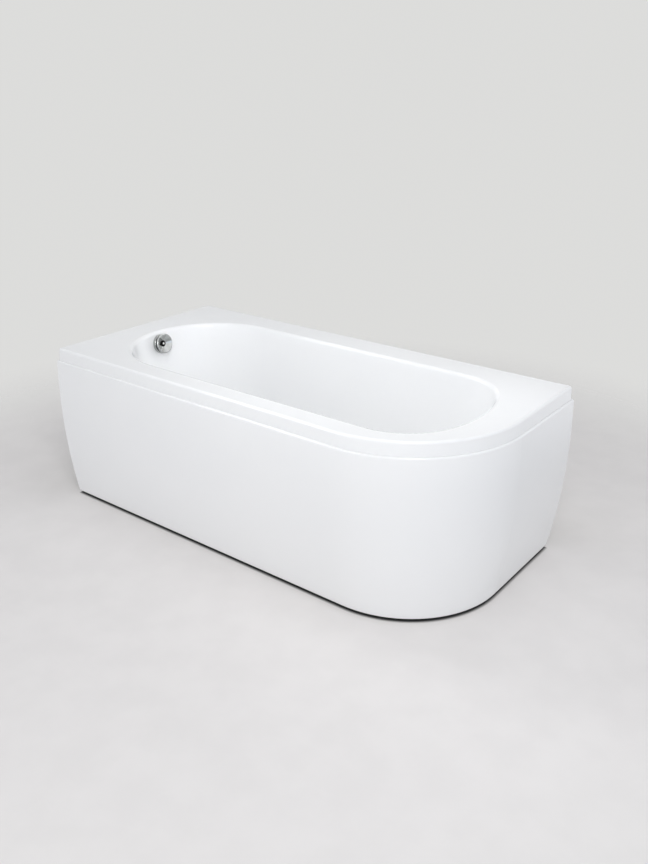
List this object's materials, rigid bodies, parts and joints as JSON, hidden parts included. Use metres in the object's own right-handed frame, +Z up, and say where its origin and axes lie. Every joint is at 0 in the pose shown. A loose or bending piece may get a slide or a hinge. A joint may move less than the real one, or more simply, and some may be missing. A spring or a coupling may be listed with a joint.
{
  "type": "bathtub",
  "caption": "White acrylic back-to-wall bath with one rounded front corner, wrap-round panel, levelling feet, turning overflow knob and pop-up waste",
  "frame": {"origin": "centre of the bath's box, on the floor under it", "axes": "+X along the bath from the square end to the rounded end, +Y to the back wall, +Z up"},
  "size_m": [1.606, 0.756, 0.575],
  "materials": {
    "white_acrylic": "glossy",
    "chrome_plate": "polished",
    "zinc_steel": "satin",
    "board": "matte",
    "black_plastic": "matte",
    "black_rubber": "matte",
    "white_plastic": "satin"
  },
  "bodies": {
    "bath": {"bath_shell": "white_acrylic", "front_panel": "white_acrylic", "overflow_flange": "chrome_plate", "waste_flange": "chrome_plate", "panel_hooks": "zinc_steel", "panel_hook_screws": "zinc_steel", "panel_bracket_left": "zinc_steel", "panel_bracket_right": "zinc_steel", "panel_bracket_screws": "zinc_steel", "panel_bracket_bolts": "zinc_steel", "panel_cleat_left": "zinc_steel", "panel_cleat_right": "zinc_steel", "panel_cleat_screws": "zinc_steel", "wall_bracket_back_left": "zinc_steel", "wall_bracket_back_right": "zinc_steel", "wall_bracket_end": "zinc_steel", "cradle_rail_left": "zinc_steel", "cradle_rail_right": "zinc_steel", "rail_screws": "zinc_steel", "centre_foot_plate": "zinc_steel", "centre_plate_screws": "zinc_steel", "levelling_rods": "zinc_steel", "lock_nuts": "zinc_steel", "lever_pin": "zinc_steel", "base_board": "board", "cable_sheath": "black_plastic", "overflow_gasket": "black_rubber", "waste_seal": "black_rubber", "overflow_body": "white_plastic", "overflow_pipe": "white_plastic", "cable_clips": "white_plastic", "waste_body": "white_plastic", "trap_nut": "white_plastic", "trap_bend": "white_plastic"},
    "knob": {"overflow_knob": "chrome_plate", "knob_spindle": "zinc_steel", "cable_spool": "white_plastic"},
    "plug": {"plug_cap": "chrome_plate", "plug_stem": "zinc_steel", "plug_seal": "black_rubber"},
    "lever": {"lift_lever": "white_plastic"},
    "foot_1": {"foot_pad_1": "black_plastic"},
    "foot_2": {"foot_pad_2": "black_plastic"},
    "foot_3": {"foot_pad_3": "black_plastic"},
    "foot_4": {"foot_pad_4": "black_plastic"},
    "foot_5": {"foot_pad_5": "black_plastic"}
  },
  "joints": [
    {"name": "knob_turn", "type": "hinge", "parent": "bath", "child": "knob", "pos_m": [-0.66653, -0.014, 0.529], "axis": [0.9703, 0, 0.2419], "range_deg": [0, 90]},
    {"name": "plug_lift", "type": "slide", "parent": "bath", "child": "plug", "axis": [0, 0, 1], "range_m": [0, 0.01]},
    {"name": "lever_turn", "type": "hinge", "parent": "bath", "child": "lever", "pos_m": [-0.496, -0.014, 0.1115], "axis": [0, -1, 0], "range_deg": [0, 45.24]},
    {"name": "foot_1_turn", "type": "hinge", "parent": "bath", "child": "foot_1", "pos_m": [-0.353, -0.229, 0], "axis": [0, 0, 1], "continuous": true},
    {"name": "foot_2_turn", "type": "hinge", "parent": "bath", "child": "foot_2", "pos_m": [-0.353, 0.201, 0], "axis": [0, 0, 1], "continuous": true},
    {"name": "foot_3_turn", "type": "hinge", "parent": "bath", "child": "foot_3", "pos_m": [0.207, -0.229, 0], "axis": [0, 0, 1], "continuous": true},
    {"name": "foot_4_turn", "type": "hinge", "parent": "bath", "child": "foot_4", "pos_m": [0.207, 0.201, 0], "axis": [0, 0, 1], "continuous": true},
    {"name": "foot_5_turn", "type": "hinge", "parent": "bath", "child": "foot_5", "pos_m": [-0.073, -0.014, 0], "axis": [0, 0, 1], "continuous": true}
  ],
  "couplings": [
    {"joint": "plug_lift", "follows": "knob_turn", "m_per_rad": 0.0063662},
    {"joint": "lever_turn", "follows": "knob_turn", "ratio": 0.50266}
  ]
}
